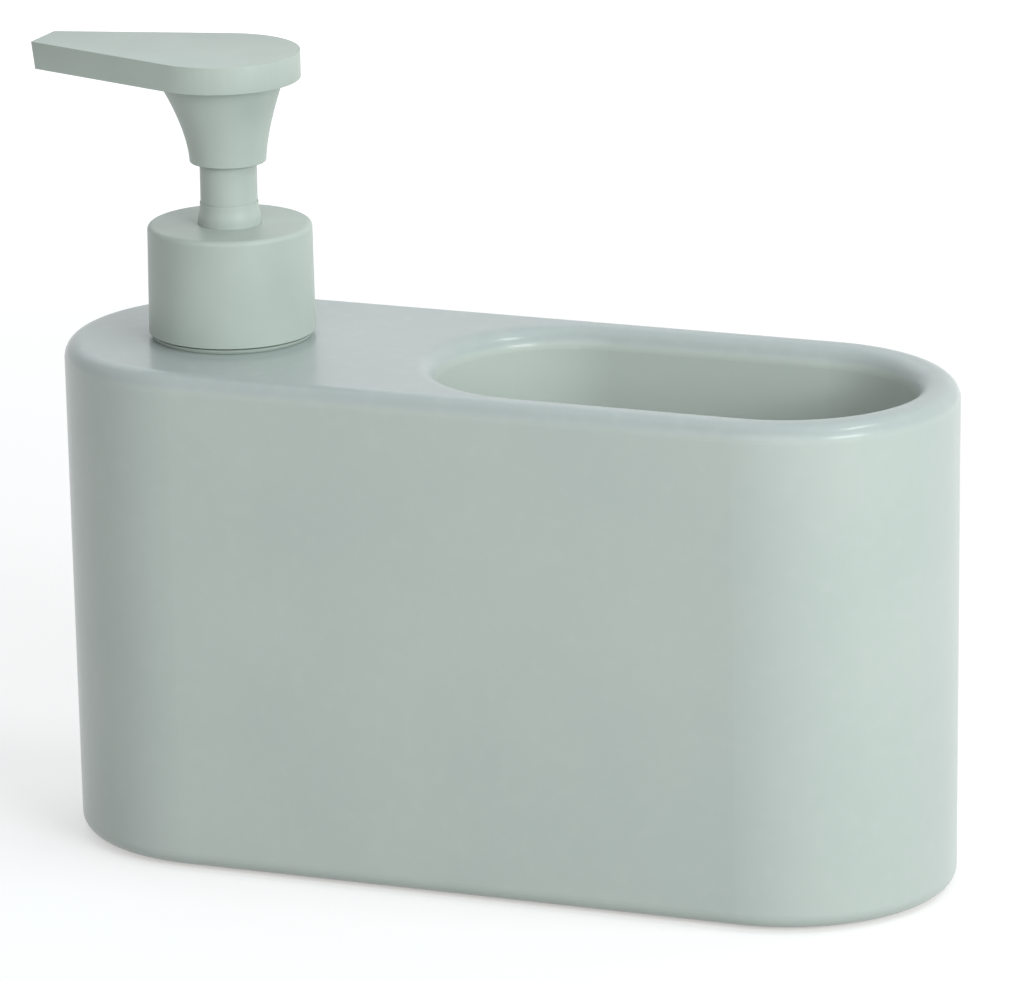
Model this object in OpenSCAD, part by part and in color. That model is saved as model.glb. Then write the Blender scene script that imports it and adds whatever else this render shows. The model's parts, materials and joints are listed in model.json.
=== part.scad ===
// Countertop dish soap dispenser: a glazed ceramic holder with a soap chamber
// at its left end and a sponge well at its right, and a screw-on lotion pump.
// The origin is the middle of the base on the counter. X runs along the holder
// towards the well, Y to its back and Z up. The nozzle points to -X.

/* [Holder body] */
// Length of the body
body_length = 175; // [160:1:200]
// Depth of the body, front to back
body_depth = 64; // [60:1:76]
// Height of the body's flat top above the counter
body_height = 97.2; // [88:0.1:120]
// How far each side leans in between the top and the foot
side_lean = 0.7; // [0:0.1:2]
// Rounding of the outer top edge
top_edge_radius = 3.5; // [2:0.5:4]
// Rounding of the outer foot edge
foot_edge_radius = 3; // [2:0.5:6]
// Thickness of the floor under both hollows
floor_thickness = 7; // [5:0.5:12]
// Wall of the soap chamber, at the outside and against the well
chamber_wall = 6; // [4:0.5:8]
// Thickness of the roof over the soap chamber
roof_thickness = 7; // [5:0.5:9]
// Rounding of the chamber's inner edges
chamber_edge_radius = 5; // [2:0.5:8]

/* [Sponge well] */
// Length of the well between its round ends
well_length = 92; // [70:1:98]
// Wall between the well and the outside
well_wall = 8; // [7.5:0.5:10]
// Rounding of the well's lip
well_lip_radius = 4; // [1:0.5:4.5]
// Rounding between the well's wall and floor
well_floor_radius = 8; // [3:0.5:14]

/* [Base pad] */
// Thickness of the soft pad
pad_thickness = 2; // [1:0.25:3]
// How far the pad stands out of the foot
pad_proud = 0.6; // [0.4:0.1:1]
// Distance from the foot's edge to the pad
pad_margin = 9; // [6:0.5:14]

/* [Neck insert] */
// Outside radius of the neck under its thread
neck_radius = 10.9; // [10.5:0.1:11.5]
// Depth of the neck's thread, which the cap leaves room for
thread_depth = 1; // [0.6:0.1:1.2]
// Radius of the neck's bore
neck_bore_radius = 9.2; // [8.6:0.1:9.5]
// Height of the neck above the body
neck_height = 15.4; // [12:0.2:18]
// Radius of the flange let into the body
insert_flange_radius = 13.2; // [12.9:0.1:14]
// Thickness of that flange
insert_flange_thickness = 2.4; // [1.8:0.1:3]
// How far that flange stands out of the body, under the collar
insert_flange_proud = 0.8; // [0:0.1:1]
// Radius of the sleeve that stands in the body's hole
insert_sleeve_radius = 12; // [11.6:0.1:12.2]
// How far the sleeve reaches below the roof
insert_sleeve_reach = 2; // [0:0.5:5]
// Height and depth of each groove that keys the sleeve in its glue
glue_groove = 0.8; // [0.4:0.1:1]
// Thickness of the seal under the flange
insert_seal_thickness = 0.8; // [0.4:0.1:1.5]

/* [Collar] */
// Radius of the collar at its bottom
collar_bottom_radius = 15.8; // [15.4:0.1:18]
// Radius of the collar at its top
collar_top_radius = 15.6; // [15.2:0.1:18]
// Wall of the collar shell
collar_wall = 1.5; // [1:0.1:1.6]
// Thickness of the shell's flat top
collar_top_thickness = 1.8; // [1:0.1:3]
// Rounding of the shell's top edge
collar_edge_radius = 1; // [0.5:0.1:1.4]
// Gap between the collar and the body
collar_gap = 1.2; // [0.9:0.1:2]
// Thickness of the screw cap's top
cap_top_thickness = 1.3; // [0.8:0.1:2]
// Grip ribs round the screw cap
cap_rib_count = 24; // [12:1:36]
// How far each rib stands out of the cap
cap_rib_height = 0.4; // [0.2:0.05:0.5]
// Width of each rib
cap_rib_width = 1; // [0.6:0.1:1.4]

/* [Pump cylinder] */
// Bore radius of the cylinder
cylinder_bore_radius = 6.3; // [6.1:0.05:6.5]
// Wall of the cylinder
cylinder_wall = 0.9; // [0.7:0.1:1.2]
// Length of the bore below the flange
cylinder_length = 44; // [42:0.5:50]
// Radius of the flange that is held on the neck
cylinder_flange_radius = 11.4; // [10.8:0.1:11.5]
// Thickness of that flange
cylinder_flange_thickness = 2; // [1.6:0.1:3]
// Thickness of the neck gasket
gasket_thickness = 1.2; // [0.8:0.1:2]
// Radius of the vent hole in the cylinder's side
vent_radius = 0.6; // [0.4:0.1:1]
// Depth of the vent hole below the flange
vent_drop = 4; // [2.5:0.5:6]

/* [Inlet valve and dip tube] */
// Radius of both valve balls
ball_radius = 2.4; // [2:0.1:2.6]
// Height of the room in which a ball lifts
ball_room = 6.2; // [5.8:0.1:8]
// Thickness of the retainer that stops the inlet ball and seats the spring
retainer_thickness = 1.6; // [1:0.1:2.5]
// Radius of the port under each ball
port_radius = 1.5; // [1:0.1:1.8]
// Height of the conical valve seat
seat_height = 1.2; // [0.8:0.1:2]
// Outside radius of the dip tube
tube_radius = 3; // [2.5:0.1:3.4]
// Wall of the dip tube
tube_wall = 0.9; // [0.6:0.1:1.2]
// Depth of the socket that holds the tube
tube_socket_depth = 8; // [5:0.5:12]
// Gap between the tube's end and the chamber's floor
tube_floor_gap = 4; // [2:0.5:10]
// Angle of the slanted cut at the tube's end
tube_cut_angle = 30; // [0:5:45]

/* [Stem and piston] */
// How far the head can be pressed down
stroke = 11.7; // [8:0.1:12]
// Outside radius of the stem
stem_radius = 5.4; // [5.3:0.05:5.45]
// Bore radius of the stem
stem_bore_radius = 3; // [2.7:0.1:3.2]
// Length of the stem's socket on the piston rod
stem_socket_depth = 7; // [5:0.5:9]
// Radius of the rod's spigot in that socket
spigot_radius = 4; // [3.6:0.05:4.2]
// How far the stem reaches into the cylinder at rest
stem_reach = 11; // [10:0.5:14]
// How far the guide reaches into the cylinder
guide_reach = 9.5; // [6:0.5:9.5]
// How far the guide's boss stands out of the collar
boss_rise = 4.2; // [2:0.1:5]
// Wall of that boss at its foot
boss_wall = 0.55; // [0.5:0.05:0.6]
// How far the boss narrows to its top
boss_taper = 0.25; // [0:0.05:0.3]
// Radius of the guide's flange
guide_flange_radius = 8; // [7.6:0.1:9]
// Thickness of the guide's flange
guide_flange_thickness = 1; // [0.6:0.1:1.2]
// Height of the piston seal
piston_height = 6.5; // [5:0.5:8]
// Depth of the hollow under each lip of the piston seal
lip_depth = 1.8; // [1:0.1:2.2]
// Thickness of each lip at its edge
lip_width = 0.5; // [0.4:0.1:0.8]
// Radius of the rod through the piston
rod_radius = 3; // [2.8:0.1:3.2]
// Radius of the rod's flange under the piston
rod_flange_radius = 5.2; // [5:0.1:5.6]
// Thickness of the rod's flange
rod_flange_thickness = 1.5; // [1:0.1:2]
// Length of the rod's tail inside the spring
rod_tail = 8; // [6:0.5:9]
// Radius of the cross hole that lets soap into the rod
rod_port_radius = 1.1; // [0.8:0.1:1.3]

/* [Return spring] */
// Mean radius of the coils
spring_radius = 4.5; // [4.3:0.1:4.6]
// Diameter of the wire
spring_wire = 0.9; // [0.6:0.05:1]
// Number of turns
spring_turns = 7; // [5:1:8]
// Gap between the turns at each closed end
spring_end_gap = 0.45; // [0.42:0.01:0.6]

/* [Pump head] */
// Turn of the head about the pump's axis at rest
head_turn = -2.4; // [-180:0.1:180]
// Height of the flared skirt
skirt_height = 15.9; // [12:0.1:19]
// Radius of the skirt at its bottom
skirt_bottom_radius = 7.25; // [7.2:0.05:7.6]
// Radius of the skirt at its top
skirt_top_radius = 12; // [10.5:0.1:12.5]
// Wall of the skirt
skirt_wall = 0.9; // [0.8:0.05:0.95]
// Chamfer of the skirt's bottom edge
skirt_edge = 0.3; // [0.1:0.05:0.4]
// How sharply the skirt flares towards its top
flare_power = 1.6; // [1:0.1:3]
// How sharply the skirt leans towards the nozzle at its top
lean_power = 1.8; // [1:0.1:3]
// Thickness of the head plate
plate_thickness = 5.2; // [5:0.1:7]
// Radius of the plate's round end
plate_radius = 15.1; // [14.4:0.1:18]
// How far the round end is shifted towards the nozzle
plate_shift = 1.1; // [0:0.1:1.8]
// Reach of the nozzle's tip from the pump's axis
tip_reach = 38.3; // [30:0.1:50]
// Width of the tip
tip_width = 9.7; // [8:0.1:12]
// How far the tip's end face is cut back at its bottom
tip_undercut = 0.8; // [0:0.1:1.5]
// Wall of the socket under the plate that holds the stem
head_socket_wall = 1; // [0.8:0.1:1.1]
// Depth of that socket
head_socket_depth = 4.5; // [3:0.1:5]
// Height of the rib that centres the skirt
skirt_rib_height = 1.2; // [0.8:0.1:2]
// Width of the rib that centres the skirt
skirt_rib_width = 1; // [0.8:0.1:1.2]
// Radius of the duct from the stem to the nozzle
duct_radius = 1.6; // [1.2:0.1:1.7]
// Outside radius of the nozzle insert
nozzle_radius = 2; // [1.9:0.05:2.1]
// Radius of the nozzle's orifice
orifice_radius = 1.1; // [0.8:0.1:1.4]
// Length of the nozzle insert
nozzle_length = 5; // [3:0.5:8]
// Recess of the nozzle insert behind the tip's face
nozzle_recess = 0.4; // [0.2:0.1:1]

/* [Fits] */
// Radial clearance of parts that slide or turn in a bore
running_fit = 0.05; // [0.03:0.01:0.09]
// Clearance between parts that are pushed together
seat_fit = 0.05; // [0.02:0.01:0.1]
// Gap between the thread's crest and the cap's bore
thread_gap = 0.3; // [0.2:0.05:0.5]
// Gap between moving parts that don't guide each other
free_gap = 0.3; // [0.3:0.05:0.5]

/* [Hidden] */
$fn = 96;

// How far a cut runs past the face that it opens
overrun = 1;

sage_glaze = [0.70, 0.74, 0.72];
sage_plastic = [0.69, 0.74, 0.70];
natural_plastic = [0.90, 0.91, 0.88];
soft_plastic = [0.93, 0.92, 0.86];
seal_rubber = [0.62, 0.63, 0.62];
steel = [0.72, 0.73, 0.75];

// Plan of the body: the straight run between the centres of its round ends
body_straight = body_length - body_depth;
ceramic_height = body_height - pad_proud;
pump_x = -body_straight / 2;

// Plan of the well
well_radius = body_depth / 2 - well_wall;
well_straight = well_length - 2 * well_radius;
well_x = body_length / 2 - well_wall - well_length / 2;

// Heights above the counter, from the floor up to the nozzle
floor_z = pad_proud + floor_thickness;
roof_z = body_height - roof_thickness;
insert_top = body_height + insert_flange_proud;
insert_flange_bottom = insert_top - insert_flange_thickness;
neck_top = body_height + neck_height;
gasket_top = neck_top + gasket_thickness;
flange_top = gasket_top + cylinder_flange_thickness;
cap_top = flange_top + seat_fit + cap_top_thickness;
collar_bottom = body_height + collar_gap;
cap_bottom = collar_bottom + free_gap;
collar_top = cap_top + seat_fit + collar_top_thickness;
boss_top = collar_top + boss_rise;
skirt_bottom = collar_top + free_gap + stroke;
plate_bottom = skirt_bottom + skirt_height;
duct_z = plate_bottom + plate_thickness / 2;

// Heights inside the cylinder
bore_bottom = gasket_top - cylinder_length;
seat_top = bore_bottom - ball_room;
port_top = seat_top - seat_height;
socket_top = port_top - ball_radius / 2;
socket_bottom = socket_top - tube_socket_depth;
cylinder_radius = cylinder_bore_radius + cylinder_wall;
retainer_top = bore_bottom + retainer_thickness;
stem_bottom = gasket_top - stem_reach;
stem_top = plate_bottom - seat_fit;
piston_top = stem_bottom - free_gap;
piston_bottom = piston_top - piston_height;
rod_flange_bottom = piston_bottom - rod_flange_thickness;
rod_bottom = rod_flange_bottom - rod_tail;
rod_top = stem_bottom + stem_socket_depth - free_gap;

// Radii that follow from the fits
cap_bore_radius = neck_radius + thread_depth + thread_gap;
shell_bore_radius = collar_top_radius - collar_wall;
cap_radius = shell_bore_radius - seat_fit - cap_rib_height;
guide_bore_radius = stem_radius + running_fit;
boss_radius = guide_bore_radius + boss_wall;
collar_hole_radius = boss_radius + running_fit;
ball_room_radius = ball_radius + free_gap;
tube_bore_radius = tube_radius - tube_wall;
head_bore_radius = stem_radius + seat_fit;
insert_hole_radius = insert_sleeve_radius + seat_fit;

// Corner centre of a rounding that touches a level edge and the leaning side
function lean_angle() = atan(side_lean / ceramic_height);
function corner_x(height, radius) = body_depth / 2 - side_lean
    + ((height * sin(lean_angle())) - radius) / cos(lean_angle());
function corner_touch(height, radius) = [corner_x(height, radius) + radius * cos(lean_angle()),
    height - radius * sin(lean_angle())];

// Carries a half profile round a closed path of two straight runs and two half turns
module obround_turn(straight) {
    for (side = [-1, 1])
        translate([side * straight / 2, 0, 0])
            rotate([0, 0, -side * 90])
                rotate_extrude(angle = 180)
                    children();
    translate([-straight / 2, 0, 0])
        rotate([90, 0, 90])
            linear_extrude(straight) {
                children();
                mirror([1, 0])
                    children();
            }
}

// Flat outline with two round ends
module obround(straight, radius) {
    square([straight, 2 * radius], center = true);
    for (side = [-1, 1])
        translate([side * straight / 2, 0])
            circle(radius);
}

// Round tube between two heights
module tube(outer, inner, low, high) {
    translate([0, 0, low])
        linear_extrude(high - low)
            difference() {
                circle(outer);
                circle(inner);
            }
}

module on_pump_axis() {
    translate([pump_x, 0, 0])
        children();
}

module on_head() {
    on_pump_axis()
        rotate([0, 0, head_turn])
            children();
}

module body_profile() {
    foot_x = corner_x(foot_edge_radius, foot_edge_radius);
    top_z = ceramic_height - top_edge_radius;
    top_x = corner_x(top_z, top_edge_radius);
    polygon([[0, 0], [foot_x, 0], corner_touch(foot_edge_radius, foot_edge_radius),
        corner_touch(top_z, top_edge_radius), [top_x, ceramic_height], [0, ceramic_height]]);
    translate([foot_x, foot_edge_radius])
        circle(foot_edge_radius);
    translate([top_x, top_z])
        circle(top_edge_radius);
}

module well_profile() {
    lip_z = body_height - well_lip_radius;
    difference() {
        polygon([[0, floor_z], [well_radius - well_floor_radius, floor_z],
            [well_radius, floor_z + well_floor_radius], [well_radius, lip_z],
            [well_radius + well_lip_radius, body_height],
            [well_radius + well_lip_radius, body_height + overrun], [0, body_height + overrun]]);
        translate([well_radius + well_lip_radius, lip_z])
            circle(well_lip_radius);
    }
    translate([well_radius - well_floor_radius, floor_z + well_floor_radius])
        circle(well_floor_radius);
}

module chamber_profile() {
    chamber_radius = body_depth / 2 - chamber_wall;
    corner = chamber_radius - chamber_edge_radius;
    polygon([[0, floor_z], [corner, floor_z], [chamber_radius, floor_z + chamber_edge_radius],
        [chamber_radius, roof_z - chamber_edge_radius], [corner, roof_z], [0, roof_z]]);
    for (corner_z = [floor_z + chamber_edge_radius, roof_z - chamber_edge_radius])
        translate([corner, corner_z])
            circle(chamber_edge_radius);
}

// The soap chamber runs on inside the body until it meets the well's own wall
module soap_chamber() {
    difference() {
        obround_turn(body_straight)
            chamber_profile();
        translate([well_x, 0, 0])
            linear_extrude(body_height)
                obround(well_straight, well_radius + chamber_wall);
    }
}

module ceramic_body() {
    color(sage_glaze)
        difference() {
            translate([0, 0, pad_proud])
                obround_turn(body_straight)
                    body_profile();
            translate([well_x, 0, 0])
                obround_turn(well_straight)
                    well_profile();
            soap_chamber();
            on_pump_axis() {
                translate([0, 0, roof_z - overrun])
                    cylinder(h = roof_thickness + 2 * overrun, r = insert_hole_radius);
                translate([0, 0, insert_flange_bottom - insert_seal_thickness])
                    cylinder(h = body_height, r = insert_flange_radius + seat_fit);
            }
            linear_extrude(pad_thickness)
                obround(body_straight, body_depth / 2 - side_lean - pad_margin + seat_fit);
        }
}

module base_pad() {
    color(seal_rubber)
        linear_extrude(pad_thickness)
            obround(body_straight, body_depth / 2 - side_lean - pad_margin);
}

module neck_insert() {
    sleeve_bottom = roof_z - insert_sleeve_reach;
    color(natural_plastic)
        on_pump_axis()
            difference() {
                union() {
                    tube(insert_sleeve_radius, neck_bore_radius, sleeve_bottom, insert_flange_bottom);
                    tube(insert_flange_radius, neck_bore_radius, insert_flange_bottom, insert_top);
                    tube(neck_radius, neck_bore_radius, insert_top, neck_top);
                }
                for (level = [1, 2])
                    tube(insert_sleeve_radius + overrun, insert_sleeve_radius - glue_groove,
                        roof_z + 2 * level * glue_groove, roof_z + (2 * level + 1) * glue_groove);
            }
}

module insert_seal() {
    color(seal_rubber)
        on_pump_axis()
            tube(insert_flange_radius, insert_sleeve_radius + seat_fit,
                insert_flange_bottom - insert_seal_thickness, insert_flange_bottom);
}

module neck_gasket() {
    color(seal_rubber)
        on_pump_axis()
            tube(neck_radius, cylinder_radius + seat_fit, neck_top, gasket_top);
}

// Half outline of the cylinder, from the vented bore down to the tube's socket
module cylinder_profile() {
    socket_radius = tube_radius + seat_fit + cylinder_wall;
    polygon([[cylinder_bore_radius, bore_bottom], [cylinder_bore_radius, flange_top],
        [cylinder_flange_radius, flange_top], [cylinder_flange_radius, gasket_top],
        [cylinder_radius, gasket_top], [cylinder_radius, bore_bottom - cylinder_wall],
        [socket_radius, seat_top], [socket_radius, socket_bottom],
        [tube_radius + seat_fit, socket_bottom], [tube_radius + seat_fit, socket_top],
        [port_radius, socket_top], [port_radius, port_top], [ball_room_radius, seat_top],
        [ball_room_radius, bore_bottom]]);
}

module pump_cylinder() {
    color(natural_plastic)
        on_pump_axis()
            difference() {
                rotate_extrude()
                    cylinder_profile();
                translate([0, 0, flange_top - guide_flange_thickness - seat_fit])
                    cylinder(h = cylinder_flange_thickness, r = guide_flange_radius + seat_fit);
                translate([0, 0, neck_top - vent_drop])
                    rotate([0, 90, 0])
                        cylinder(h = cylinder_flange_radius, r = vent_radius);
            }
}

module stem_guide() {
    color(sage_plastic)
        on_pump_axis() {
            tube(cylinder_bore_radius - seat_fit, guide_bore_radius, gasket_top - guide_reach,
                flange_top - guide_flange_thickness);
            tube(guide_flange_radius, guide_bore_radius, flange_top - guide_flange_thickness, flange_top);
            rotate_extrude()
                polygon([[guide_bore_radius, flange_top], [boss_radius, flange_top],
                    [boss_radius, collar_top], [boss_radius - boss_taper, boss_top],
                    [guide_bore_radius, boss_top]]);
        }
}

// Disc in the bottom of the bore, with a cross of slots that the ball can't close
module ball_retainer() {
    slot_width = ball_radius / 2;
    slot_length = 2 * (ball_radius + slot_width);
    color(natural_plastic)
        on_pump_axis()
            translate([0, 0, bore_bottom])
                linear_extrude(retainer_thickness)
                    difference() {
                        circle(cylinder_bore_radius - seat_fit);
                        square([slot_length, slot_width], center = true);
                        square([slot_width, slot_length], center = true);
                    }
}

// Height of a ball's centre above the wide end of a seat that it rests in
function ball_lift(seat_width) = let (slope = atan2(seat_height, seat_width - port_radius))
    ball_radius / cos(slope) - seat_height - port_radius * tan(slope);

module inlet_ball() {
    color(steel)
        on_pump_axis()
            translate([0, 0, seat_top + ball_lift(ball_room_radius) + seat_fit])
                sphere(ball_radius);
}

// The spring's wire: a tube of six sides that follows a helix with closed ends
spring_rings = 8;
spring_sides = 6;
spring_length = rod_flange_bottom - retainer_top - 2 * seat_fit;
closed_pitch = spring_wire + spring_end_gap;
open_pitch = (spring_length - spring_wire - 2 * closed_pitch) / (spring_turns - 2);
function coil_height(turn) = min(turn, 1) * closed_pitch
    + max(0, min(turn - 1, spring_turns - 2)) * open_pitch
    + max(0, turn - spring_turns + 1) * closed_pitch;
function coil_point(turn) = [spring_radius * cos(360 * turn), spring_radius * sin(360 * turn),
    retainer_top + seat_fit + spring_wire / 2 + coil_height(turn)];
function wire_point(turn, angle) = coil_point(turn) + spring_wire / 2
    * [cos(angle) * cos(360 * turn), cos(angle) * sin(360 * turn), sin(angle)];
coil_centres = [for (ring = [0 : spring_turns * spring_rings]) coil_point(ring / spring_rings)];
coil_gap = min([for (low = [0 : len(coil_centres) - 1])
    for (high = [low + spring_rings / 2 : len(coil_centres) - 1])
        norm(coil_centres[high] - coil_centres[low])]) - spring_wire;
echo(spring_least_gap = coil_gap);

module return_spring() {
    rings = spring_turns * spring_rings;
    last = rings * spring_sides;
    wire_points = [for (ring = [0 : rings]) for (side = [0 : spring_sides - 1])
        wire_point(ring / spring_rings, 360 * side / spring_sides)];
    wall_faces = [for (ring = [0 : rings - 1]) for (side = [0 : spring_sides - 1])
        let (low = ring * spring_sides, high = low + spring_sides, next = (side + 1) % spring_sides)
            each [[low + side, high + side, low + next], [low + next, high + side, high + next]]];
    end_faces = [for (side = [1 : spring_sides - 2])
        each [[0, side, side + 1], [last, last + side + 1, last + side]]];
    color(steel)
        on_pump_axis()
            polyhedron(wire_points, concat(wall_faces, end_faces));
}

module dip_tube() {
    tube_bottom = floor_z + tube_floor_gap;
    color(natural_plastic)
        on_pump_axis()
            difference() {
                tube(tube_radius, tube_bore_radius, tube_bottom, socket_top - seat_fit);
                translate([tube_radius, 0, tube_bottom])
                    rotate([0, tube_cut_angle, 0])
                        translate([-tube_socket_depth, -tube_socket_depth, -tube_socket_depth])
                            cube([2 * tube_socket_depth, 2 * tube_socket_depth, tube_socket_depth]);
            }
}

module screw_cap() {
    color(natural_plastic)
        on_pump_axis() {
            tube(cap_radius, cap_bore_radius, cap_bottom, flange_top + seat_fit);
            tube(cap_radius, collar_hole_radius, flange_top + seat_fit, cap_top);
            for (rib = [0 : cap_rib_count - 1])
                rotate([0, 0, 360 * rib / cap_rib_count])
                    translate([cap_bore_radius + thread_gap, -cap_rib_width / 2, cap_bottom])
                        cube([cap_radius + cap_rib_height - cap_bore_radius - thread_gap,
                            cap_rib_width, cap_top - cap_bottom]);
        }
}

module collar_profile() {
    edge_z = collar_top - collar_edge_radius;
    difference() {
        union() {
            polygon([[0, collar_bottom], [collar_bottom_radius, collar_bottom],
                [collar_top_radius, edge_z], [collar_top_radius - collar_edge_radius, collar_top],
                [0, collar_top]]);
            translate([collar_top_radius - collar_edge_radius, edge_z])
                circle(collar_edge_radius);
        }
        translate([0, collar_bottom - overrun])
            square([shell_bore_radius, cap_top + seat_fit - collar_bottom + overrun]);
        translate([0, collar_bottom])
            square([collar_hole_radius, collar_top]);
    }
}

module collar_shell() {
    color(sage_plastic)
        on_pump_axis()
            rotate_extrude()
                collar_profile();
}

// Hollow rod: a spigot for the stem, a waist for the piston, a flange for the spring
module piston_rod() {
    port_z = rod_bottom + rod_tail / 2;
    color(soft_plastic)
        on_pump_axis()
            difference() {
                rotate_extrude()
                    polygon([[port_radius, rod_bottom], [rod_radius, rod_bottom],
                        [rod_radius, rod_flange_bottom], [rod_flange_radius, rod_flange_bottom],
                        [rod_flange_radius, piston_bottom], [rod_radius, piston_bottom],
                        [rod_radius, stem_bottom + seat_fit], [spigot_radius, stem_bottom + seat_fit],
                        [spigot_radius, rod_top], [ball_radius, rod_top],
                        [port_radius, rod_top - seat_height]]);
                translate([-rod_radius - overrun, 0, port_z])
                    rotate([0, 90, 0])
                        cylinder(h = 2 * (rod_radius + overrun), r = rod_port_radius);
            }
}

// Soft ring with a lip at each end that wipes the bore
module piston_seal() {
    lip_radius = cylinder_bore_radius - running_fit;
    waist_radius = lip_radius - lip_width;
    hub_radius = (rod_radius + lip_radius) / 2;
    color(soft_plastic)
        on_pump_axis()
            rotate_extrude()
                polygon([[rod_radius + seat_fit, piston_bottom], [hub_radius, piston_bottom],
                    [hub_radius, piston_bottom + lip_depth], [waist_radius, piston_bottom],
                    [lip_radius, piston_bottom], [waist_radius, piston_bottom + lip_depth],
                    [waist_radius, piston_top - lip_depth], [lip_radius, piston_top],
                    [waist_radius, piston_top], [hub_radius, piston_top - lip_depth],
                    [hub_radius, piston_top], [rod_radius + seat_fit, piston_top]]);
}

module outlet_ball() {
    color(steel)
        on_pump_axis()
            translate([0, 0, rod_top + ball_lift(ball_radius) + seat_fit])
                sphere(ball_radius);
}

// Visible stem: socket for the rod below, room for the outlet ball above it
module stem_tube() {
    socket_radius = spigot_radius + running_fit;
    socket_end = stem_bottom + stem_socket_depth;
    color(sage_plastic)
        on_head()
            rotate_extrude()
                polygon([[socket_radius, stem_bottom], [stem_radius, stem_bottom],
                    [stem_radius, stem_top], [stem_bore_radius, stem_top],
                    [stem_bore_radius, socket_end + ball_room],
                    [ball_radius - seat_fit, socket_end + ball_room],
                    [ball_radius - seat_fit, socket_end + ball_room - seat_height],
                    [stem_bore_radius, socket_end + ball_room - seat_height],
                    [stem_bore_radius, socket_end], [socket_radius, socket_end]]);
}

// Stack of circles that widens and shifts towards the nozzle as it rises
flare_sides = 48;
flare_levels = 12;
function flare_radius(share) = skirt_bottom_radius
    + (skirt_top_radius - skirt_bottom_radius) * pow(share, flare_power);
function flare_shift(share) = plate_shift * pow(share, lean_power);
function flare_ring(share, inset, height) = [for (side = [0 : flare_sides - 1])
    let (angle = 360 * side / flare_sides)
        [(flare_radius(share) - inset) * cos(angle) - flare_shift(share),
            (flare_radius(share) - inset) * sin(angle), height]];

// Solid flare: the first ring is drawn in by the edge, and both ends can be run out
module flare(inset, edge, extra) {
    shares = [0, each [for (level = [0 : flare_levels])
        (skirt_edge + (skirt_height - skirt_edge) * level / flare_levels) / skirt_height]];
    last = len(shares) - 1;
    points = [for (level = [0 : last])
        each flare_ring(shares[level], inset + (level == 0 ? edge : 0),
            skirt_bottom + skirt_height * shares[level]
                + (level == last ? extra : level == 0 ? -extra : 0))];
    walls = [for (level = [0 : last - 1]) for (side = [0 : flare_sides - 1])
        let (low = level * flare_sides, high = low + flare_sides, next = (side + 1) % flare_sides)
            [low + side, high + side, high + next, low + next]];
    bottom = [for (side = [0 : flare_sides - 1]) side];
    top = [for (side = [flare_sides - 1 : -1 : 0]) last * flare_sides + side];
    polyhedron(points, concat([bottom], walls, [top]));
}

module head_skirt() {
    color(sage_plastic)
        on_head()
            difference() {
                flare(0, skirt_edge, 0);
                flare(skirt_wall, 0, overrun);
            }
}

// Outline of the plate: a circle run out along two tangents to the tip
module teardrop() {
    corner = [-tip_reach, tip_width / 2];
    centre = [-plate_shift, 0];
    sight = corner - centre;
    angle = atan2(sight[1], sight[0]) - acos(plate_radius / norm(sight));
    touch = centre + plate_radius * [cos(angle), sin(angle)];
    polygon([touch, corner, [corner[0], -corner[1]], [touch[0], -touch[1]]]);
    translate(centre)
        circle(plate_radius);
}

module head_plate() {
    rib_share = 1 - skirt_rib_height / skirt_height;
    rib_radius = (flare_radius(rib_share) - skirt_wall) * cos(180 / flare_sides)
        - plate_shift + flare_shift(rib_share) - seat_fit;
    undercut_angle = atan(tip_undercut / plate_thickness);
    color(sage_plastic)
        on_head()
            difference() {
                union() {
                    translate([0, 0, plate_bottom])
                        linear_extrude(plate_thickness)
                            teardrop();
                    tube(stem_radius + head_socket_wall, head_bore_radius,
                        plate_bottom - head_socket_depth, plate_bottom);
                    translate([-plate_shift, 0, 0])
                        tube(rib_radius, rib_radius - skirt_rib_width,
                            plate_bottom - skirt_rib_height, plate_bottom);
                }
                translate([-tip_reach, 0, plate_bottom + plate_thickness])
                    rotate([0, undercut_angle, 0])
                        translate([-tip_width, -tip_width, -2 * plate_thickness])
                            cube([tip_width, 2 * tip_width, 3 * plate_thickness]);
                translate([0, 0, plate_bottom - overrun])
                    cylinder(h = plate_thickness / 2 + overrun, r = stem_bore_radius);
                translate([0, 0, duct_z])
                    rotate([0, -90, 0])
                        cylinder(h = tip_reach, r = duct_radius);
                translate([-tip_reach + tip_undercut + nozzle_recess + nozzle_length, 0, duct_z])
                    rotate([0, -90, 0])
                        cylinder(h = tip_reach, r = nozzle_radius + seat_fit);
            }
}

module nozzle_insert() {
    color(sage_plastic)
        on_head()
            translate([-tip_reach + tip_undercut + nozzle_recess + nozzle_length, 0, duct_z])
                rotate([0, -90, 0])
                    tube(nozzle_radius, orifice_radius, seat_fit, nozzle_length);
}

ceramic_body();
base_pad();
neck_insert();
insert_seal();
neck_gasket();
pump_cylinder();
stem_guide();
ball_retainer();
inlet_ball();
return_spring();
dip_tube();
screw_cap();
collar_shell();
piston_rod();
piston_seal();
outlet_ball();
stem_tube();
head_skirt();
head_plate();
nozzle_insert();
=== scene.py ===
import json
import math

import bmesh
import bpy
from mathutils import Matrix, Vector


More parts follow.
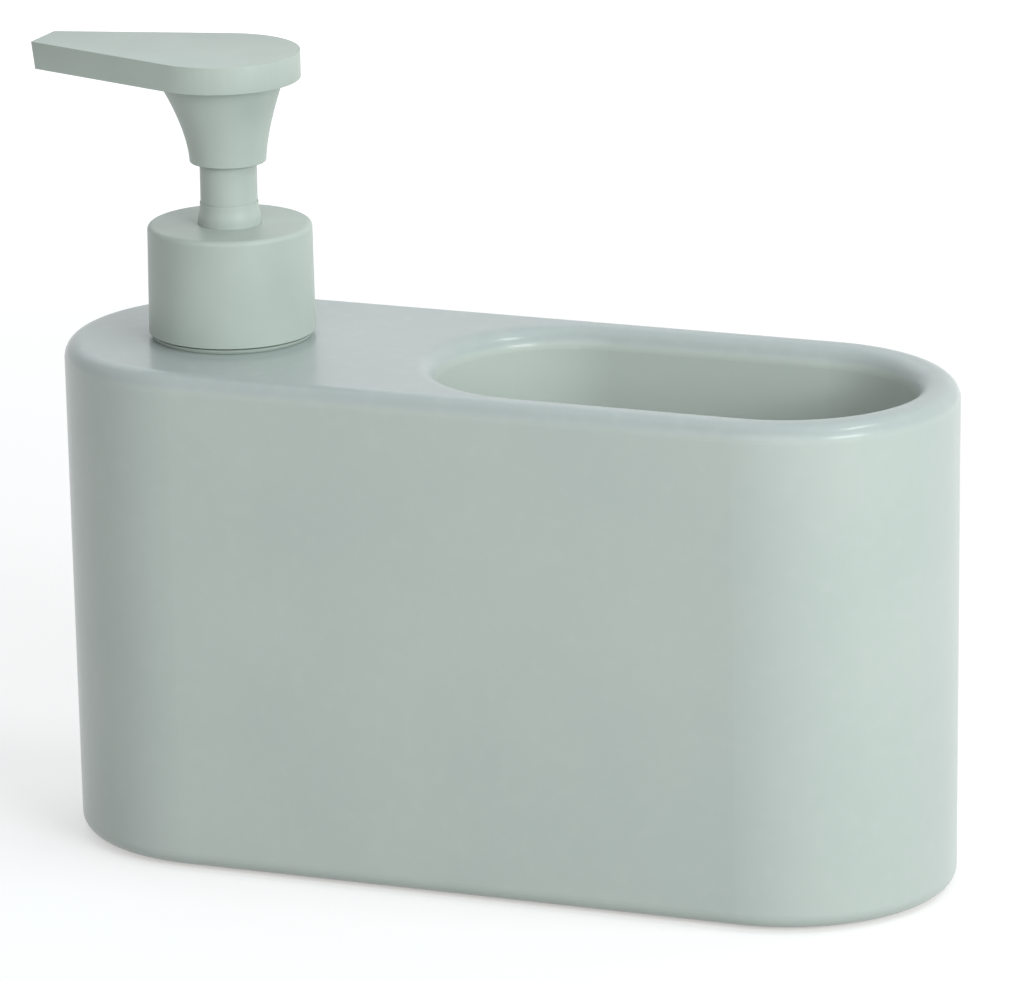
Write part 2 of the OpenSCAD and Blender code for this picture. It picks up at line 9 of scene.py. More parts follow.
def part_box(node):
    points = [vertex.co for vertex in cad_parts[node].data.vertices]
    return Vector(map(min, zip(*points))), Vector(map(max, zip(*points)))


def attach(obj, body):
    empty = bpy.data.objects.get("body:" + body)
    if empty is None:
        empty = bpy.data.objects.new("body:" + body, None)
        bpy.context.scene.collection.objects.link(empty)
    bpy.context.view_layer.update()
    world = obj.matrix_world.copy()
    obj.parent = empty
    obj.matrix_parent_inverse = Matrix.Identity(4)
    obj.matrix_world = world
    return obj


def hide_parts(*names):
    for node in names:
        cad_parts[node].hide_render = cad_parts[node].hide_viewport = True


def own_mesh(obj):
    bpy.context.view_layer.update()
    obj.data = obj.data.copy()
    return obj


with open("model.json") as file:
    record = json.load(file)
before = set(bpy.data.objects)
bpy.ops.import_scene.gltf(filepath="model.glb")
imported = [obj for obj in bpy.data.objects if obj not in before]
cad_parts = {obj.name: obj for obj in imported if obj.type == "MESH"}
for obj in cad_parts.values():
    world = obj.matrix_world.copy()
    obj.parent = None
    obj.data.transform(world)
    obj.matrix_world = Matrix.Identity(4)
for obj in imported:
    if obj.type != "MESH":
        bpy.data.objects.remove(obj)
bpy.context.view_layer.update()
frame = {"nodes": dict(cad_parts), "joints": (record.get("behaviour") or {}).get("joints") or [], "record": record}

mm = 0.001
swivel = next(joint for joint in frame["joints"] if joint["name"] == "head_swivel")
pumpAxis = Vector((swivel["pos_m"][0], 0, 0))  # the pump's upright axis
headTurn = math.radians(-2.4)  # the nozzle points a little to the back
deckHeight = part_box("ceramic_body")[1].z  # the ceramic's flat top


# One socket of a node, so that node maths can be written as a sum
class Wire:
    def __init__(self, tree, socket):
        self.tree = tree
        self.socket = socket

    def work(self, operation, *values):
        node = self.tree.nodes.new("ShaderNodeMath")
        node.operation = operation
        for slot, value in zip(node.inputs, values):
            feed(self.tree, slot, value)
        return Wire(self.tree, node.outputs[0])

    def __add__(self, other):
        return self.work("ADD", self, other)

    def __radd__(self, other):
        return self.work("ADD", other, self)

    def __sub__(self, other):
        return self.work("SUBTRACT", self, other)

    def __rsub__(self, other):
        return self.work("SUBTRACT", other, self)

    def __mul__(self, other):
        return self.work("MULTIPLY", self, other)

    def __rmul__(self, other):
        return self.work("MULTIPLY", other, self)

    def __truediv__(self, other):
        return self.work("DIVIDE", self, other)

    def __rtruediv__(self, other):
        return self.work("DIVIDE", other, self)

    def __pow__(self, other):
        return self.work("POWER", self, other)

    def __rpow__(self, other):
        return self.work("POWER", other, self)

    def cos(self):
        return self.work("COSINE", self)

    def sin(self):
        return self.work("SINE", self)

    def least(self, other):
        return self.work("MINIMUM", self, other)

    def most(self, other):
        return self.work("MAXIMUM", self, other)

    # 0 below low, 1 above high, smooth in between
    def rise(self, low, high):
        node = self.tree.nodes.new("ShaderNodeMapRange")
        node.interpolation_type = "SMOOTHSTEP"
        for slot, value in zip(node.inputs, (self, low, high, 0.0, 1.0)):
            feed(self.tree, slot, value)
        return Wire(self.tree, node.outputs[0])


def feed(tree, slot, value):
    if isinstance(value, Wire):
        tree.links.new(value.socket, slot)
    else:
        slot.default_value = value


# A node tree to build on
class Board:
    def __init__(self, tree):
        self.tree = tree

    # Adds a node: its settings are set first, then its sockets
    def add(self, kind, settings=None, sockets=None, output=0):
        node = self.tree.nodes.new(kind)
        for name, value in (settings or {}).items():
            setattr(node, name, value)
        for name, value in (sockets or {}).items():
            feed(self.tree, node.inputs[name], value)
        return Wire(self.tree, node.outputs[output]) if len(node.outputs) else None

    def split(self, vector):
        node = self.tree.nodes.new("ShaderNodeSeparateXYZ")
        feed(self.tree, node.inputs[0], vector)
        return [Wire(self.tree, out) for out in node.outputs]

    def blend(self, share, first, second):
        return self.add("ShaderNodeMix", {"data_type": "RGBA"}, {0: share, 6: first, 7: second}, 2)

    # 1 on what shows in the picture, straight, in a gloss or through something clear
    def shown(self):
        rays = self.tree.nodes.new("ShaderNodeLightPath")
        straight, gloss, through = (
            Wire(self.tree, rays.outputs[name])
            for name in ("Is Camera Ray", "Is Glossy Ray", "Is Transmission Ray"))
        return straight.most(gloss).most(through)


# Written screen colour, 0 to 255, as the linear colour that a shader takes
def tint(red, green, blue):
    parts = [channel / 255 for channel in (red, green, blue)]
    return tuple(c / 12.92 if c < 0.04045 else ((c + 0.055) / 1.055) ** 2.4 for c in parts) + (1,)


# Materials

class Finish(Board):
    def __init__(self, name):
        self.material = bpy.data.materials.new(name)
        self.material.use_nodes = True
        super().__init__(self.material.node_tree)
        self.tree.nodes.clear()
        self.place = self.add("ShaderNodeTexCoord", output="Object")
        self.facing = self.add("ShaderNodeTexCoord", output="Normal")

    def grain(self, size, detail, roughness=0.5, stretch=None):
        vector = self.place
        if stretch:
            vector = self.add("ShaderNodeMapping", sockets={"Vector": vector, "Scale": stretch})
        return self.add("ShaderNodeTexNoise", {"noise_dimensions": "3D"}, {
            "Vector": vector, "Scale": 1 / size, "Detail": detail, "Roughness": roughness})

    def bumped(self, height, depth, before=None):
        sockets = {"Strength": 1.0, "Distance": depth, "Height": height}
        if before:
            sockets["Normal"] = before
        return self.add("ShaderNodeBump", sockets=sockets)

    def done(self, sockets):
        shader = self.add("ShaderNodeBsdfPrincipled", sockets=sockets)
        self.add("ShaderNodeOutputMaterial", sockets={"Surface": shader})
        return self.material


# Satin glaze wiped off the foot, with painted shade on the flat top and painted light in the well
def satinGlaze():
    look = {
        "sage": tint(178, 187, 182), "cloud": tint(174, 184, 179), "thin": tint(189, 197, 192),
        # The darker top colour is painted shade and the paler well colour is painted light, not colours of the
        # glaze
        "paintedTopShade": tint(164, 174, 172), "inside": tint(184, 193, 187), "clay": tint(214, 205, 192),
        "wellMiddles": (11.5 * mm, -pumpAxis.x), "wellRadius": 24 * mm, "wellEdge": (0.3 * mm, 3 * mm),
        "topShadeBelowDeck": (5 * mm, 2 * mm), "topShadeFacing": (0.02, 0.55),
        "footHeight": (0.9 * mm, 1.5 * mm), "footFacing": (-0.93, -0.86),
        "cloudSize": 38 * mm, "cloudRange": (0.3, 0.7),
        "mottleSize": 3.2 * mm, "mottleRange": (0.45, 0.8), "mottleShare": 0.14,
        "waveSize": 24 * mm, "waveDepth": 0.10 * mm, "peelSize": 0.9 * mm, "peelDepth": 0.006 * mm,
        "roughness": 0.4, "roughnessSpread": 0.08, "clayRougher": 0.45,
        "coat": 0.45, "coatRoughness": 0.18, "specular": 0.28,
    }
    paint = Finish("satinGlaze")
    along, across, height = paint.split(paint.place)
    upward = paint.split(paint.facing)[2]
    first, last = look["wellMiddles"]
    off = along - along.most(first).least(last)
    fromWell = (off * off + across * across) ** 0.5
    clouds = paint.grain(look["cloudSize"], 3)
    mottle = paint.grain(look["mottleSize"], 2)
    # Painted shade: the upward faces at the flat top are painted darker and bluer, standing in for the light from
    # above
    top = height.rise(*[deckHeight - below for below in look["topShadeBelowDeck"]])
    paintedTopShade = upward.rise(*look["topShadeFacing"]) * top
    # Painted light: the inside of the well is painted paler, standing in for the light that reaches it
    inside = 1 - fromWell.rise(*[look["wellRadius"] + past for past in look["wellEdge"]])
    foot = (1 - height.rise(*look["footHeight"])) * (1 - upward.rise(*look["footFacing"]))
    colour = paint.blend(clouds.rise(*look["cloudRange"]), look["sage"], look["cloud"])
    colour = paint.blend(inside, colour, look["inside"])
    colour = paint.blend(paintedTopShade, colour, look["paintedTopShade"])
    colour = paint.blend(mottle.rise(*look["mottleRange"]) * look["mottleShare"], colour, look["thin"])
    colour = paint.blend(foot, colour, look["clay"])
    waves = paint.bumped(paint.grain(look["waveSize"], 1), look["waveDepth"])
    peel = paint.bumped(paint.grain(look["peelSize"], 2), look["peelDepth"], waves)
    unevenness = (clouds - 0.5) * look["roughnessSpread"]
    return paint.done({
        "Base Color": colour, "Normal": peel, "Specular IOR Level": look["specular"],
        "Roughness": unevenness + (look["roughness"] + foot * look["clayRougher"]),
        "Coat Weight": (1 - foot) * look["coat"], "Coat Roughness": look["coatRoughness"],
    })


def sageMoulding():
    look = {
        "sage": tint(167, 178, 171), "pale": tint(172, 183, 176),
        "cloudSize": 14 * mm, "cloudRange": (0.3, 0.75), "grainSize": 0.28 * mm, "grainDepth": 0.004 * mm,
        "roughness": 0.42, "roughnessSpread": 0.12,
    }
    paint = Finish("sageMoulding")
    clouds = paint.grain(look["cloudSize"], 2)
    texture = paint.grain(look["grainSize"], 3)
    return paint.done({
        "Base Color": paint.blend(clouds.rise(*look["cloudRange"]), look["sage"], look["pale"]),
        "Roughness": look["roughness"] + (texture - 0.5) * look["roughnessSpread"],
        "Normal": paint.bumped(texture, look["grainDepth"]),
    })


# Plastic without pigment: a little light gets in, and flow lines run along its height
def naturalMoulding(name, light, dark, roughness):
    look = {
        "cloudSize": 9 * mm, "flowSize": 1.4 * mm, "flowStretch": (1, 1, 0.15), "flowDepth": 0.005 * mm,
        "roughnessSpread": 0.1, "milkiness": 0.12, "milkTone": (1.0, 1.0, 0.8), "milkDepth": 0.6 * mm,
    }
    paint = Finish(name)
    clouds = paint.grain(look["cloudSize"], 2)
    flow = paint.grain(look["flowSize"], 2, stretch=look["flowStretch"])
    return paint.done({
        "Base Color": paint.blend(clouds, tint(*light), tint(*dark)),
        "Roughness": roughness + (flow - 0.5) * look["roughnessSpread"],
        "Normal": paint.bumped(flow, look["flowDepth"]), "Subsurface Weight": look["milkiness"],
        "Subsurface Radius": look["milkTone"], "Subsurface Scale": look["milkDepth"],
    })


# Tube that was drawn through a die, so its lines run from end to end
def drawnTube():
    look = {
        "light": tint(231, 233, 227), "dark": tint(222, 226, 219), "cloudSize": 11 * mm,
        "lineSize": 0.5 * mm, "lineStretch": (1, 1, 0.01), "lineDepth": 0.006 * mm,
        "roughness": 0.24, "roughnessSpread": 0.12,
        "milkiness": 0.15, "milkTone": (1.0, 1.0, 0.9), "milkDepth": 0.8 * mm,
    }
    paint = Finish("drawnTube")
    clouds = paint.grain(look["cloudSize"], 1)
    lines = paint.grain(look["lineSize"], 2, stretch=look["lineStretch"])
    return paint.done({
        "Base Color": paint.blend(clouds, look["light"], look["dark"]),
        "Roughness": look["roughness"] + (lines - 0.5) * look["roughnessSpread"],
        "Normal": paint.bumped(lines, look["lineDepth"]), "Subsurface Weight": look["milkiness"],
        "Subsurface Radius": look["milkTone"], "Subsurface Scale": look["milkDepth"],
    })


# Rubber or foam, with pores of a given size and depth
def porousRubber(name, light, dark, roughness, pore, depth):
    look = {"poreHarshness": 0.6, "poreRange": (0.35, 0.7), "roughnessSpread": 0.15}
    paint = Finish(name)
    pores = paint.grain(pore, 3, look["poreHarshness"])
    return paint.done({
        "Base Color": paint.blend(pores.rise(*look["poreRange"]), tint(*light), tint(*dark)),
        "Roughness": roughness + (pores - 0.5) * look["roughnessSpread"],
        "Normal": paint.bumped(pores, depth),
    })


def steel(name, tone, roughness, stretch=None):
    look = {"lineSize": 0.35 * mm, "lineDepth": 0.002 * mm, "darker": 14, "roughnessSpread": 0.12}
    paint = Finish(name)
    lines = paint.grain(look["lineSize"], 2, stretch=stretch)
    inLines = [channel - look["darker"] for channel in tone]
    return paint.done({
        "Base Color": paint.blend(lines, tint(*tone), tint(*inLines)),
        "Roughness": roughness + (lines - 0.5) * look["roughnessSpread"],
        "Metallic": 1.0, "Normal": paint.bumped(lines, look["lineDepth"]),
    })


finishes = {
    "glaze": satinGlaze(),
    "sage_plastic": sageMoulding(),
    "natural_plastic": naturalMoulding("naturalMoulding", (226, 228, 220), (218, 221, 212), roughness=0.34),
    "soft_plastic": naturalMoulding("softMoulding", (234, 232, 217), (228, 225, 208), roughness=0.42),
    "tube_plastic": drawnTube(),
    "seal_rubber": porousRubber(
        "sealRubber", (152, 155, 152), (141, 145, 142), roughness=0.62, pore=0.5 * mm, depth=0.01 * mm),
    "pad_rubber": porousRubber(
        "padFoam", (142, 147, 144), (126, 132, 129), roughness=0.8, pore=0.7 * mm, depth=0.08 * mm),
    "valve_steel": steel("polishedBall", (190, 192, 196), roughness=0.12),
    "spring_steel": steel("drawnWire", (172, 174, 178), roughness=0.3, stretch=(1, 1, 0.2)),
}
for part in frame["record"]["subparts"]:
    node = frame["nodes"][part["node"]]
    node.data.materials.clear()
    node.data.materials.append(finishes[part["material_slot"]])
print("materials made:", len(finishes))


# Geometry node trees

class Maker(Board):
    def __init__(self, name, sizes):
        tree = bpy.data.node_groups.new(name, "GeometryNodeTree")
        tree.interface.new_socket(name="Geometry", in_out="OUTPUT", socket_type="NodeSocketGeometry")
        for size in sizes:
            tree.interface.new_socket(name=size, in_out="INPUT", socket_type="NodeSocketFloat")
        super().__init__(tree)
        self.sizes = sizes
        inputs = tree.nodes.new("NodeGroupInput")
        self.given = {size: Wire(tree, inputs.outputs[size]) for size in sizes}

    # Ends the tree, runs it with its sizes and gives the plain mesh
    def build(self, name, geometry, slot):
        solid = self.add("GeometryNodeRealizeInstances", sockets={0: geometry})
        solid = self.add("GeometryNodeSetShadeSmooth", sockets={0: solid})
        solid = self.add("GeometryNodeSetMaterial", sockets={0: solid, "Material": finishes[slot]})
        self.tree.links.new(solid.socket, self.tree.nodes.new("NodeGroupOutput").inputs[0])
        holder = bpy.data.objects.new(name, bpy.data.meshes.new(name))
        bpy.context.scene.collection.objects.link(holder)
        modifier = holder.modifiers.new("make", "NODES")
        modifier.node_group = self.tree
        for item in self.tree.interface.items_tree:
            if item.in_out == "INPUT":
                modifier[item.identifier] = self.sizes[item.name]
        return plain(holder, slot)


# Turns an object with modifiers into one with a plain mesh
def plain(piece, slot):
    view = bpy.context.evaluated_depsgraph_get()
    mesh = bpy.data.meshes.new_from_object(piece.evaluated_get(view))
    piece.modifiers.clear()
    piece.data = mesh
    mesh.materials.clear()
    mesh.materials.append(finishes[slot])
    return piece


# A line bent round the pump's axis, by a turn, a radius and a height that may change along it
def spiral(maker, points, turn, radius, height):
    line = maker.add("GeometryNodeCurvePrimitiveLine")
    line = maker.add("GeometryNodeResampleCurve", sockets={0: line, "Count": points})
    spot = maker.add("ShaderNodeCombineXYZ", sockets={
        0: maker.given["axisX"] + radius * turn.cos(), 1: radius * turn.sin(), 2: height})
    return maker.add("GeometryNodeSetPosition", sockets={0: line, "Position": spot})


# The first and last turns lie closed, those between them open
def returnSpring():
    sizes = {
        "axisX": pumpAxis.x, "coilRadius": 4.5 * mm, "wire": 0.9 * mm, "turns": 7, "foot": 71.45 * mm,
        "closedPitch": 1.35 * mm, "openPitch": 3.88 * mm,
    }
    cutsPerTurn, wireSides = 40, 12
    maker = Maker("springCoil", sizes)
    given = maker.given
    turn = maker.add("GeometryNodeSplineParameter") * given["turns"]
    height = given["foot"] + given["wire"] / 2 + turn.least(1) * given["closedPitch"]
    height = height + (turn - 1).least(given["turns"] - 2).most(0) * given["openPitch"]
    height = height + (turn - given["turns"] + 1).most(0) * given["closedPitch"]
    path = spiral(maker, sizes["turns"] * cutsPerTurn + 1, turn * math.tau, given["coilRadius"], height)
    ring = maker.add("GeometryNodeCurvePrimitiveCircle", sockets={
        "Resolution": wireSides, "Radius": given["wire"] / 2})
    wire = maker.add("GeometryNodeCurveToMesh", sockets={0: path, 1: ring, "Fill Caps": True})
    return maker.build("springCoil", wire, "spring_steel")


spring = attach(returnSpring(), "pump")
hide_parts("return_spring")
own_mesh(spring)
print("return spring made")


# Ridge that climbs round the pump's axis, its root inside the wall that carries it and its ends faded out
def screwThread(name, slot, sizes):
    cutsPerTurn, crestCuts, fadeShare, leastScale = 72, 3, 0.09, 0.02
    maker = Maker(name, sizes)
    given = maker.given
    share = maker.add("GeometryNodeSplineParameter")
    height = given["foot"] + share * given["turns"] * given["pitch"]
    points = round(sizes["turns"] * cutsPerTurn) + 1
    path = spiral(maker, points, share * given["turns"] * math.tau, given["rootRadius"], height)
    path = maker.add("GeometryNodeSetCurveNormal", {"mode": "Z_UP"}, {"Curve": path})
    turnedIn = -1 if sizes["depth"] < 0 else 1  # keeps the faces outward on a ridge that points inward
    corners = {}
    for spot, (out, side) in enumerate(((0, -1), (1, -1), (1, 1), (0, 1))):
        wide = given["crestWidth"] if out else given["rootWidth"]
        corners["Point %d" % (spot + 1)] = maker.add("ShaderNodeCombineXYZ", sockets={
            0: given["depth"] * out, 1: wide * (side * turnedIn / 2)})
    ridge = maker.add("GeometryNodeCurvePrimitiveQuadrilateral", {"mode": "POINTS"}, corners)
    ridge = maker.add("GeometryNodeFilletCurve", {"mode": "POLY"}, {
        0: ridge, "Count": crestCuts, "Radius": given["crestRound"]})
    fade = share.rise(0, fadeShare) * (1 - share.rise(1 - fadeShare, 1)) * (1 - leastScale) + leastScale
    solid = maker.add("GeometryNodeCurveToMesh", sockets={
        0: path, 1: ridge, "Scale": fade, "Fill Caps": True})
    return maker.build(name, solid, slot)


neckThread = screwThread("neckThread", "sage_plastic", {
    "axisX": pumpAxis.x, "foot": 101.4 * mm, "pitch": 3.2 * mm, "turns": 2.6, "rootRadius": 10.75 * mm,
    "depth": 1.1 * mm, "rootWidth": 2.1 * mm, "crestWidth": 0.8 * mm, "crestRound": 0.18 * mm,
})
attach(neckThread, "holder")
capThread = screwThread("capThread", "natural_plastic", {
    "axisX": pumpAxis.x, "foot": 101 * mm, "pitch": 3.2 * mm, "turns": 3.2, "rootRadius": 12.35 * mm,
    "depth": -0.33 * mm, "rootWidth": 1.6 * mm, "crestWidth": 0.5 * mm, "crestRound": 0.06 * mm,
})
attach(capThread, "collar")
print("threads made")


# The outside of a flare that widens and leans towards the nozzle as it rises
def flaredSkirt():
    lowest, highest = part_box("head_skirt")
    sizes = {
        "axisX": pumpAxis.x, "low": lowest.z, "height": highest.z - lowest.z, "lowRadius": 7.25 * mm,
        "highRadius": 12 * mm, "shift": 1.1 * mm, "flarePower": 1.6, "leanPower": 1.8, "turn": headTurn,
    }
    pointsAround, pointsUp, seam = 145, 41, 0.001 * mm
    maker = Maker("flaredSkirt", sizes)
    given = maker.given
    grid = maker.add("GeometryNodeMeshGrid", sockets={
        "Size X": 1.0, "Size Y": 1.0, "Vertices X": pointsAround, "Vertices Y": pointsUp})
    across, along, _ = maker.split(maker.add("GeometryNodeInputPosition"))
    angle = (across + 0.5) * math.tau
    share = along + 0.5
    radius = given["lowRadius"] + (given["highRadius"] - given["lowRadius"]) * share ** given["flarePower"]
    lean = given["shift"] * share ** given["leanPower"]
    spot = maker.add("ShaderNodeCombineXYZ", sockets={
        0: radius * angle.cos() - lean * given["turn"].cos() + given["axisX"],
        1: radius * angle.sin() - lean * given["turn"].sin(), 2: given["low"] + given["height"] * share})
    sheet = maker.add("GeometryNodeSetPosition", sockets={0: grid, "Position": spot})
    sheet = maker.add("GeometryNodeMergeByDistance", sockets={0: sheet, "Distance": seam})
    return maker.build("flaredSkirt", sheet, "sage_plastic")


def soften(piece, edge, segments, angle):
    bevel = piece.modifiers.new("edges", "BEVEL")
    bevel.width, bevel.segments, bevel.limit_method = edge, segments, "ANGLE"
    bevel.angle_limit = math.radians(angle)
    bevel.harden_normals = True


def hollowSkirt():
    wall = {"thickness": 0.9 * mm, "edge": 0.22 * mm, "top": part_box("head_skirt")[1].z}
    piece = flaredSkirt()
    shell = piece.modifiers.new("wall", "SOLIDIFY")
    shell.thickness, shell.offset, shell.use_even_offset = wall["thickness"], -1, True
    soften(piece, wall["edge"], segments=3, angle=50)
    plain(piece, "sage_plastic")
    for point in piece.data.vertices:
        point.co.z = min(point.co.z, wall["top"])  # the wall ends flat under the plate
    return piece


skirt = hollowSkirt()
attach(skirt, "head")
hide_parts("head_skirt")
print("flared skirt made")


# A copy of a CAD node to work on, with its loose triangles joined into plain faces
def merged(node, name):
    copy = bpy.data.objects.new(name, frame["nodes"][node].data.copy())
    bpy.context.scene.collection.objects.link(copy)
    work = bmesh.new()
    work.from_mesh(copy.data)
    bmesh.ops.remove_doubles(work, verts=work.verts, dist=0.002 * mm)
    bmesh.ops.dissolve_limit(work, angle_limit=math.radians(1), verts=work.verts, edges=work.edges)
    work.to_mesh(copy.data)
    work.free()
    copy.data.shade_smooth()
    return copy


def fromAxis(point):
    return math.hypot(point.co.x - pumpAxis.x, point.co.y)


def moveOut(point, radius):
    share = radius / fromAxis(point)
    point.co.x = pumpAxis.x + (point.co.x - pumpAxis.x) * share
    point.co.y *= share


# A level ring of edges round the whole piece
def cutAt(work, height):
    everything = work.verts[:] + work.edges[:] + work.faces[:]
    bmesh.ops.bisect_plane(
        work, geom=everything, dist=0.001 * mm, plane_co=(0, 0, height), plane_no=(0, 0, 1))


# The guide's boss runs into the stem with a soft shoulder
def guideBoss():
    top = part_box("stem_guide")[1].z
    boss = {
        "foot": top - 3 * mm, "shoulder": top - 0.4 * mm, "cuts": 8,
        "bore": 5.45 * mm, "boreWall": 0.2 * mm, "edge": 0.08 * mm, "round": 0.06 * mm,
    }
    piece = merged("stem_guide", "stemGuide")
    work = bmesh.new()
    work.from_mesh(piece.data)
    for cut in range(boss["cuts"]):
        cutAt(work, boss["foot"] + (top - boss["foot"]) * cut / boss["cuts"])
    for point in work.verts:
        share = min((point.co.z - boss["foot"]) / (boss["shoulder"] - boss["foot"]), 1)
        radius = fromAxis(point)
        if share > 0 and radius > boss["bore"] + boss["boreWall"]:
            closeness = share * share * (3 - 2 * share)  # smooth at both ends
            moveOut(point, radius + (boss["bore"] + boss["edge"] - radius) * closeness)
    work.to_mesh(piece.data)
    work.free()
    soften(piece, boss["round"], segments=2, angle=50)
    return plain(piece, "sage_plastic")


# The insert's flange ends in a thin rim that lies on the deck under the collar's edge
def neckInsert():
    rim = {
        "flange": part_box("neck_insert")[1].x - pumpAxis.x, "topRadius": 15.5 * mm, "footRadius": 15 * mm,
        "slack": 0.02 * mm, "round": 0.12 * mm,
    }
    piece = merged("neck_insert", "neckInsert")
    work = bmesh.new()
    work.from_mesh(piece.data)
    cutAt(work, deckHeight)
    wall = [face for face in work.faces if abs(face.normal.z) < 0.5 and all(
        point.co.z > deckHeight - rim["slack"] and abs(fromAxis(point) - rim["flange"]) < rim["slack"]
        for point in face.verts)]
    for point in bmesh.ops.extrude_face_region(work, geom=wall)["geom"]:
        if isinstance(point, bmesh.types.BMVert):
            atFoot = point.co.z < deckHeight + rim["slack"]
            moveOut(point, rim["footRadius"] if atFoot else rim["topRadius"])
    bmesh.ops.delete(work, geom=wall, context="FACES")  # the old wall would be left inside
    work.to_mesh(piece.data)
    work.free()
    soften(piece, rim["round"], segments=2, angle=50)
    return plain(piece, "sage_plastic")


for piece, body, node in ((guideBoss(), "pump", "stem_guide"), (neckInsert(), "holder", "neck_insert")):
    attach(piece, body)
    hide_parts(node)
print("guide boss and neck insert made")


# The plate's edges are rounded, and the end face of its tip leans back to its bottom edge
def thumbPlate():
    tip = {
        "reach": 38.3 * mm, "slack": 0.05 * mm, "top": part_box("head_plate")[1].z, "thickness": 5.2 * mm,
        "back": 0.8 * mm, "flankFrom": 3 * mm, "flankSlope": 0.29, "round": 0.35 * mm,
    }
    piece = merged("head_plate", "thumbPlate")
    ahead = Vector((-math.cos(headTurn), -math.sin(headTurn), 0))
    aside = Vector((ahead.y, -ahead.x, 0))
    for point in piece.data.vertices:
        place = point.co - pumpAxis
        if place.dot(ahead) > tip["reach"] - tip["slack"]:
            back = tip["back"] * (tip["top"] - point.co.z) / tip["thickness"]
            point.co -= ahead * back
            if abs(place.dot(aside)) > tip["flankFrom"]:  # the corners stay in the flanks
                point.co += aside * math.copysign(back * tip["flankSlope"], place.dot(aside))
    soften(piece, tip["round"], segments=3, angle=40)
    return plain(piece, "sage_plastic")


plate = thumbPlate()
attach(plate, "head")
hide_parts("head_plate")
print("head plate made")


# Floor, light and camera

# The floor is open under the pad and clear from below, so that the underside can be looked at
# Its glow shows but gives no light, and grows with distance, so that the floor runs into the white
def studioFloor():
    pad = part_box("base_pad")[1]
    sheet = {
        "reach": 6, "level": -0.05 * mm, "sides": 96,
        "holeMiddle": pad.x - pad.y, "holeRadius": pad.y - 0.8 * mm,
        "tone": (0.6, 0.6, 0.6, 1), "glow": 0.46, "farGlow": 0.36, "farRange": (0.3, 1),
    }
    outer, inner, count = [], [], sheet["sides"]
    for corner in range(count):
        angle = (corner + 0.5) * math.tau / count
        along, across = math.cos(angle), math.sin(angle)
        outer.append((sheet["reach"] * along, sheet["reach"] * across, sheet["level"]))
        inner.append((math.copysign(sheet["holeMiddle"], along) + sheet["holeRadius"] * along,
                      sheet["holeRadius"] * across, sheet["level"]))
    quads = [(k, (k + 1) % count, count + (k + 1) % count, count + k) for k in range(count)]
    mesh = bpy.data.meshes.new("floor")
    mesh.from_pydata(outer + inner, [], quads)
    floor = bpy.data.objects.new("floor", mesh)
    bpy.context.scene.collection.objects.link(floor)
    paint = Finish("palePaper")
    body = paint.add("ShaderNodeBsdfDiffuse", sockets={"Color": sheet["tone"]})
    along, across, _ = paint.split(paint.place)
    far = ((along * along + across * across) ** 0.5).rise(*sheet["farRange"])
    glow = paint.add("ShaderNodeEmission", sockets={
        "Color": (1, 1, 1, 1), "Strength": paint.shown() * (sheet["glow"] + far * sheet["farGlow"])})
    paper = paint.add("ShaderNodeAddShader", sockets={0: body, 1: glow})
    below = paint.add("ShaderNodeNewGeometry", output="Backfacing")
    clear = paint.add("ShaderNodeBsdfTransparent")
    oneSided = paint.add("ShaderNodeMixShader", sockets={0: below, 1: paper, 2: clear})
    paint.add("ShaderNodeOutputMaterial", sockets={"Surface": oneSided})
    mesh.materials.append(paint.material)


# White to look at, at a lower level as light
def surround(level):
    world = bpy.data.worlds.new("studio")
    bpy.context.scene.world = world
    world.use_nodes = True
    board = Board(world.node_tree)
    board.tree.nodes.clear()
    strength = board.shown() * (1 - level) + level
    sky = board.add("ShaderNodeBackground", sockets={"Color": (1, 1, 1, 1), "Strength": strength})
    board.add("ShaderNodeOutputWorld", sockets={"Surface": sky})


# Stands at an angle round from +X and an angle up, and faces a point over the middle of the foot
def softbox(name, around, up, away, size, power, tone=(1, 1, 1), glints=True):
    aimedAt = Vector((0, 0, 0.06))
    lamp = bpy.data.lights.new(name, "AREA")
    lamp.shape, lamp.size, lamp.size_y = "RECTANGLE", size[0], size[1]
    lamp.energy, lamp.color = power, tone
    around, up = math.radians(around), math.radians(up)
    way = Vector((math.cos(up) * math.cos(around), math.cos(up) * math.sin(around), math.sin(up)))
    light = bpy.data.objects.new(name, lamp)
    light.location = way * away + aimedAt
    light.rotation_euler = way.to_track_quat("Z", "Y").to_euler()
    light.visible_glossy = glints
    bpy.context.scene.collection.objects.link(light)


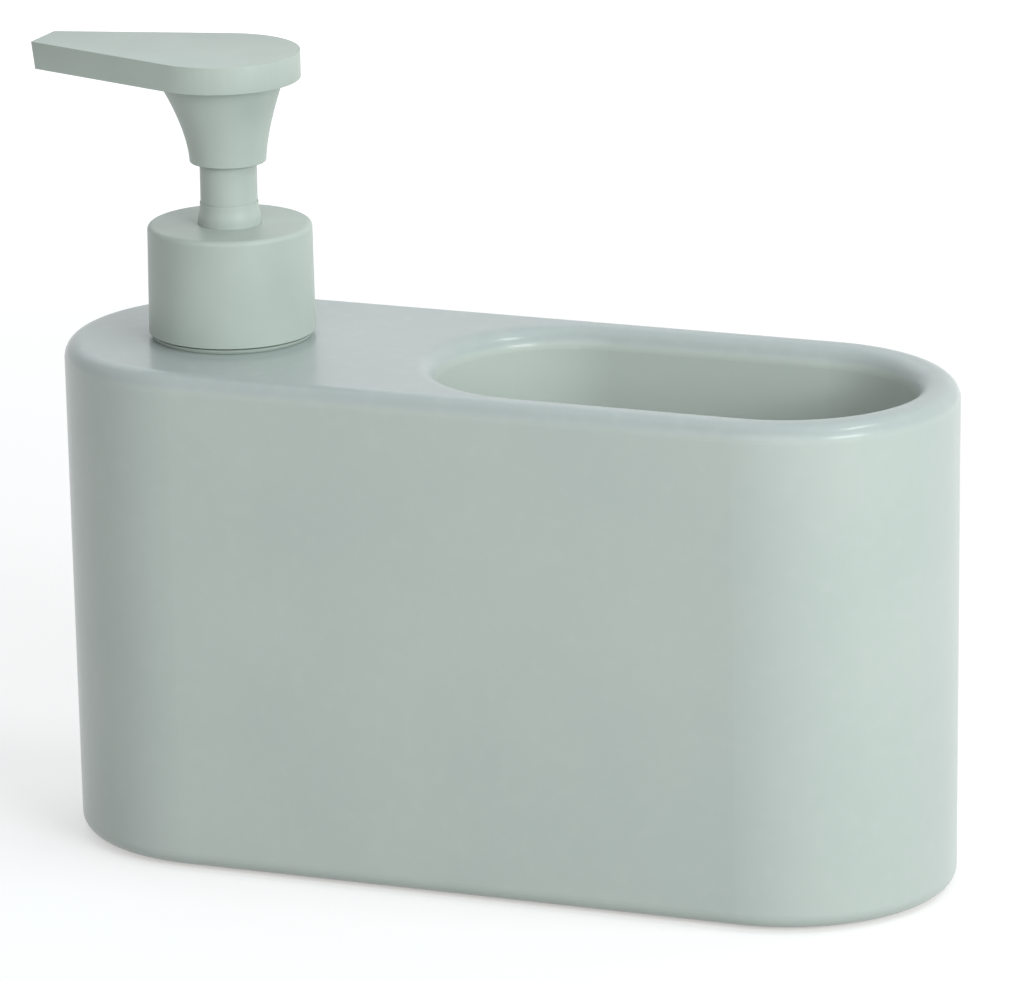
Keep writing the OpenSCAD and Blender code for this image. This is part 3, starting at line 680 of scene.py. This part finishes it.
# Fitted to the object's outlines in the photograph, its angles in degrees
def photoCamera():
    shot = {
        "place": (0.48275, -1.24708, 0.45629), "turn": -21.1325, "down": 16.0661, "roll": -0.936,
        "lens": 260.32, "sensor": 36, "nearest": 0.1, "furthest": 20,
    }
    turn, down, roll = (math.radians(shot[key]) for key in ("turn", "down", "roll"))
    ahead = Vector((math.sin(turn) * math.cos(down), math.cos(turn) * math.cos(down), -math.sin(down)))
    right = Vector((math.cos(turn), -math.sin(turn), 0))
    up = right.cross(ahead)
    right, up = math.cos(roll) * right + math.sin(roll) * up, math.cos(roll) * up - math.sin(roll) * right
    lens = bpy.data.cameras.new("photoCamera")
    lens.lens, lens.sensor_width = shot["lens"], shot["sensor"]
    lens.clip_start, lens.clip_end = shot["nearest"], shot["furthest"]
    camera = bpy.data.objects.new("photoCamera", lens)
    facing = Matrix((right, up, -ahead)).transposed().to_4x4()
    camera.matrix_world = Matrix.Translation(shot["place"]) @ facing
    bpy.context.scene.collection.objects.link(camera)
    bpy.context.scene.camera = camera


studioFloor()
surround(0.345)
# keyBox and rearBox give no glints: they would turn the flat top white from the other side
softbox("keyBox", around=-34, up=21, away=1.3, size=(0.62, 0.6), power=6.9, tone=(0.94, 1, 1), glints=False)
# The next two put the short glints on the outer rim and on the well's lip
softbox("rimBox", around=-30, up=18, away=1.28, size=(0.5, 0.2), power=3.7, tone=(0.94, 1, 1))
softbox("highBox", around=-2, up=55, away=1.3, size=(0.36, 0.13), power=2.6, tone=(0.96, 1, 0.99))
softbox("frontBox", around=-85, up=28, away=1.6, size=(1.2, 1), power=5.15, tone=(1, 0.98, 0.99))
softbox("topBox", around=90, up=84, away=1.2, size=(1.1, 0.8), power=1.8, tone=(0.82, 0.95, 1))
softbox("backBox", around=130, up=40, away=1.3, size=(0.8, 0.8), power=1.5, tone=(0.82, 0.95, 1))
softbox("rearBox", around=65, up=20, away=1.4, size=(1.5, 1.1), power=7, glints=False)
photoCamera()
bpy.context.scene.view_settings.view_transform = "Standard"
print("floor, light and camera made")
